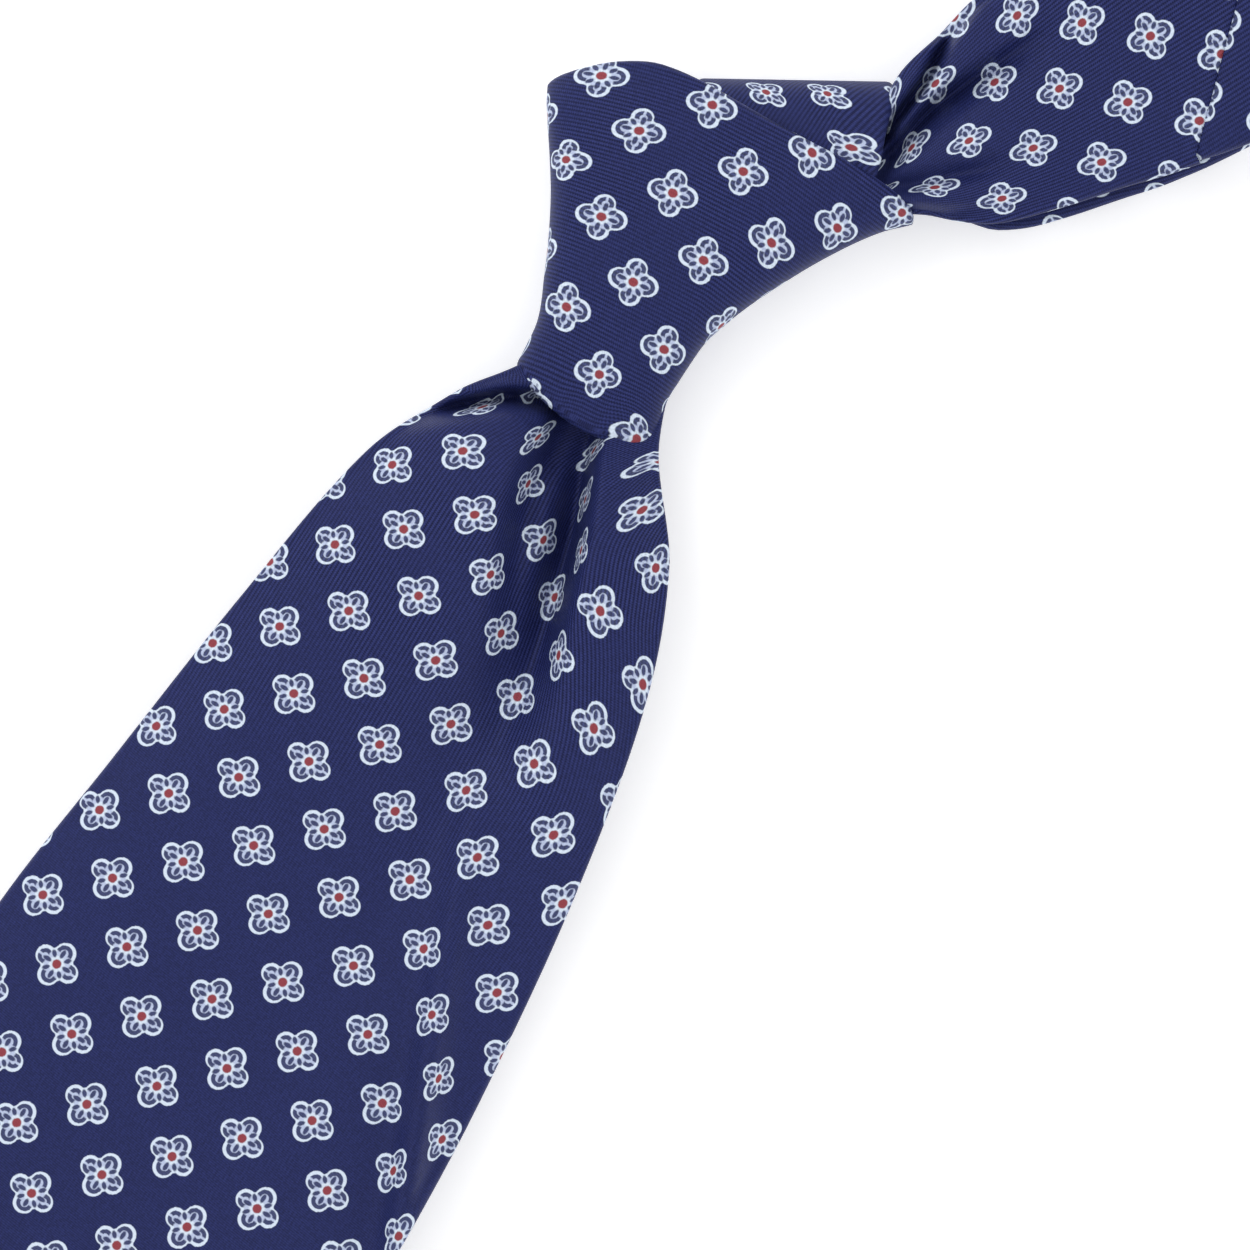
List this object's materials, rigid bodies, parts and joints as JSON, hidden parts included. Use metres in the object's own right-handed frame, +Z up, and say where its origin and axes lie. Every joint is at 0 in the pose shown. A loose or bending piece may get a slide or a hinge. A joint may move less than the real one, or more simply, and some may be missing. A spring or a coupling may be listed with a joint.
{
  "type": "necktie",
  "caption": "Printed silk necktie, tied and laid flat, with a lifting front blade, a sliding tail and a neck loop that tightens.",
  "frame": {"origin": "on the table under the middle of the knot, on the flat underside of the knot's last pass", "axes": "+Z up, out of the tie's front; both blades run along -Y; the neck loop runs along +Y turned 28.5 degrees towards +X"},
  "size_m": [0.1652, 0.6793, 0.0398],
  "materials": {
    "printed_silk": "navy silk twill with a small printed flower, soft sheen",
    "wool_interlining": "brushed wool blend, natural white",
    "tipping_lining": "plain navy lining satin",
    "sewing_thread": "navy silk sewing thread",
    "woven_label": "blank woven satin label"
  },
  "bodies": {
    "knot": {"knot_rise": "printed_silk", "knot_behind_wrap": "printed_silk", "knot_crossover": "printed_silk", "knot_tuck": "printed_silk", "knot_drop": "printed_silk", "knot_front_band": "printed_silk"},
    "front_blade": {"front_gather": "printed_silk", "front_shell": "printed_silk", "front_interlining": "wool_interlining", "front_tipping": "tipping_lining", "front_slip_stitch": "sewing_thread", "front_bar_tack": "sewing_thread", "keeper_loop": "printed_silk", "keeper_stitches": "sewing_thread", "back_label": "woven_label", "label_stitches": "sewing_thread"},
    "neck_loop": {"upper_strap": "printed_silk", "neck_shell": "printed_silk", "neck_interlining": "wool_interlining", "neck_slip_stitch": "sewing_thread", "lower_strap": "printed_silk"},
    "tail": {"tail_gather": "printed_silk", "tail_shell": "printed_silk", "tail_interlining": "wool_interlining", "tail_tipping": "tipping_lining", "tail_slip_stitch": "sewing_thread", "tail_bar_tack": "sewing_thread", "care_label": "woven_label"}
  },
  "joints": [
    {"name": "front_blade_lift", "type": "hinge", "parent": "knot", "child": "front_blade", "pos_m": [0, -0.067, 0.0105], "axis": [-1, 0, 0], "range_deg": [0, 110], "deforming": ["front_gather"]},
    {"name": "loop_slide", "type": "slide", "parent": "knot", "child": "neck_loop", "axis": [-0.4772, -0.8788, 0], "range_m": [-0.025, 0.015], "deforming": ["upper_strap", "lower_strap"]},
    {"name": "tail_slide", "type": "slide", "parent": "knot", "child": "tail", "axis": [0, -0.9999, -0.0116], "range_m": [-0.05, 0.03], "deforming": ["tail_gather"]}
  ],
  "couplings": [
    {"joint": "tail_slide", "follows": "loop_slide", "ratio": 2}
  ]
}
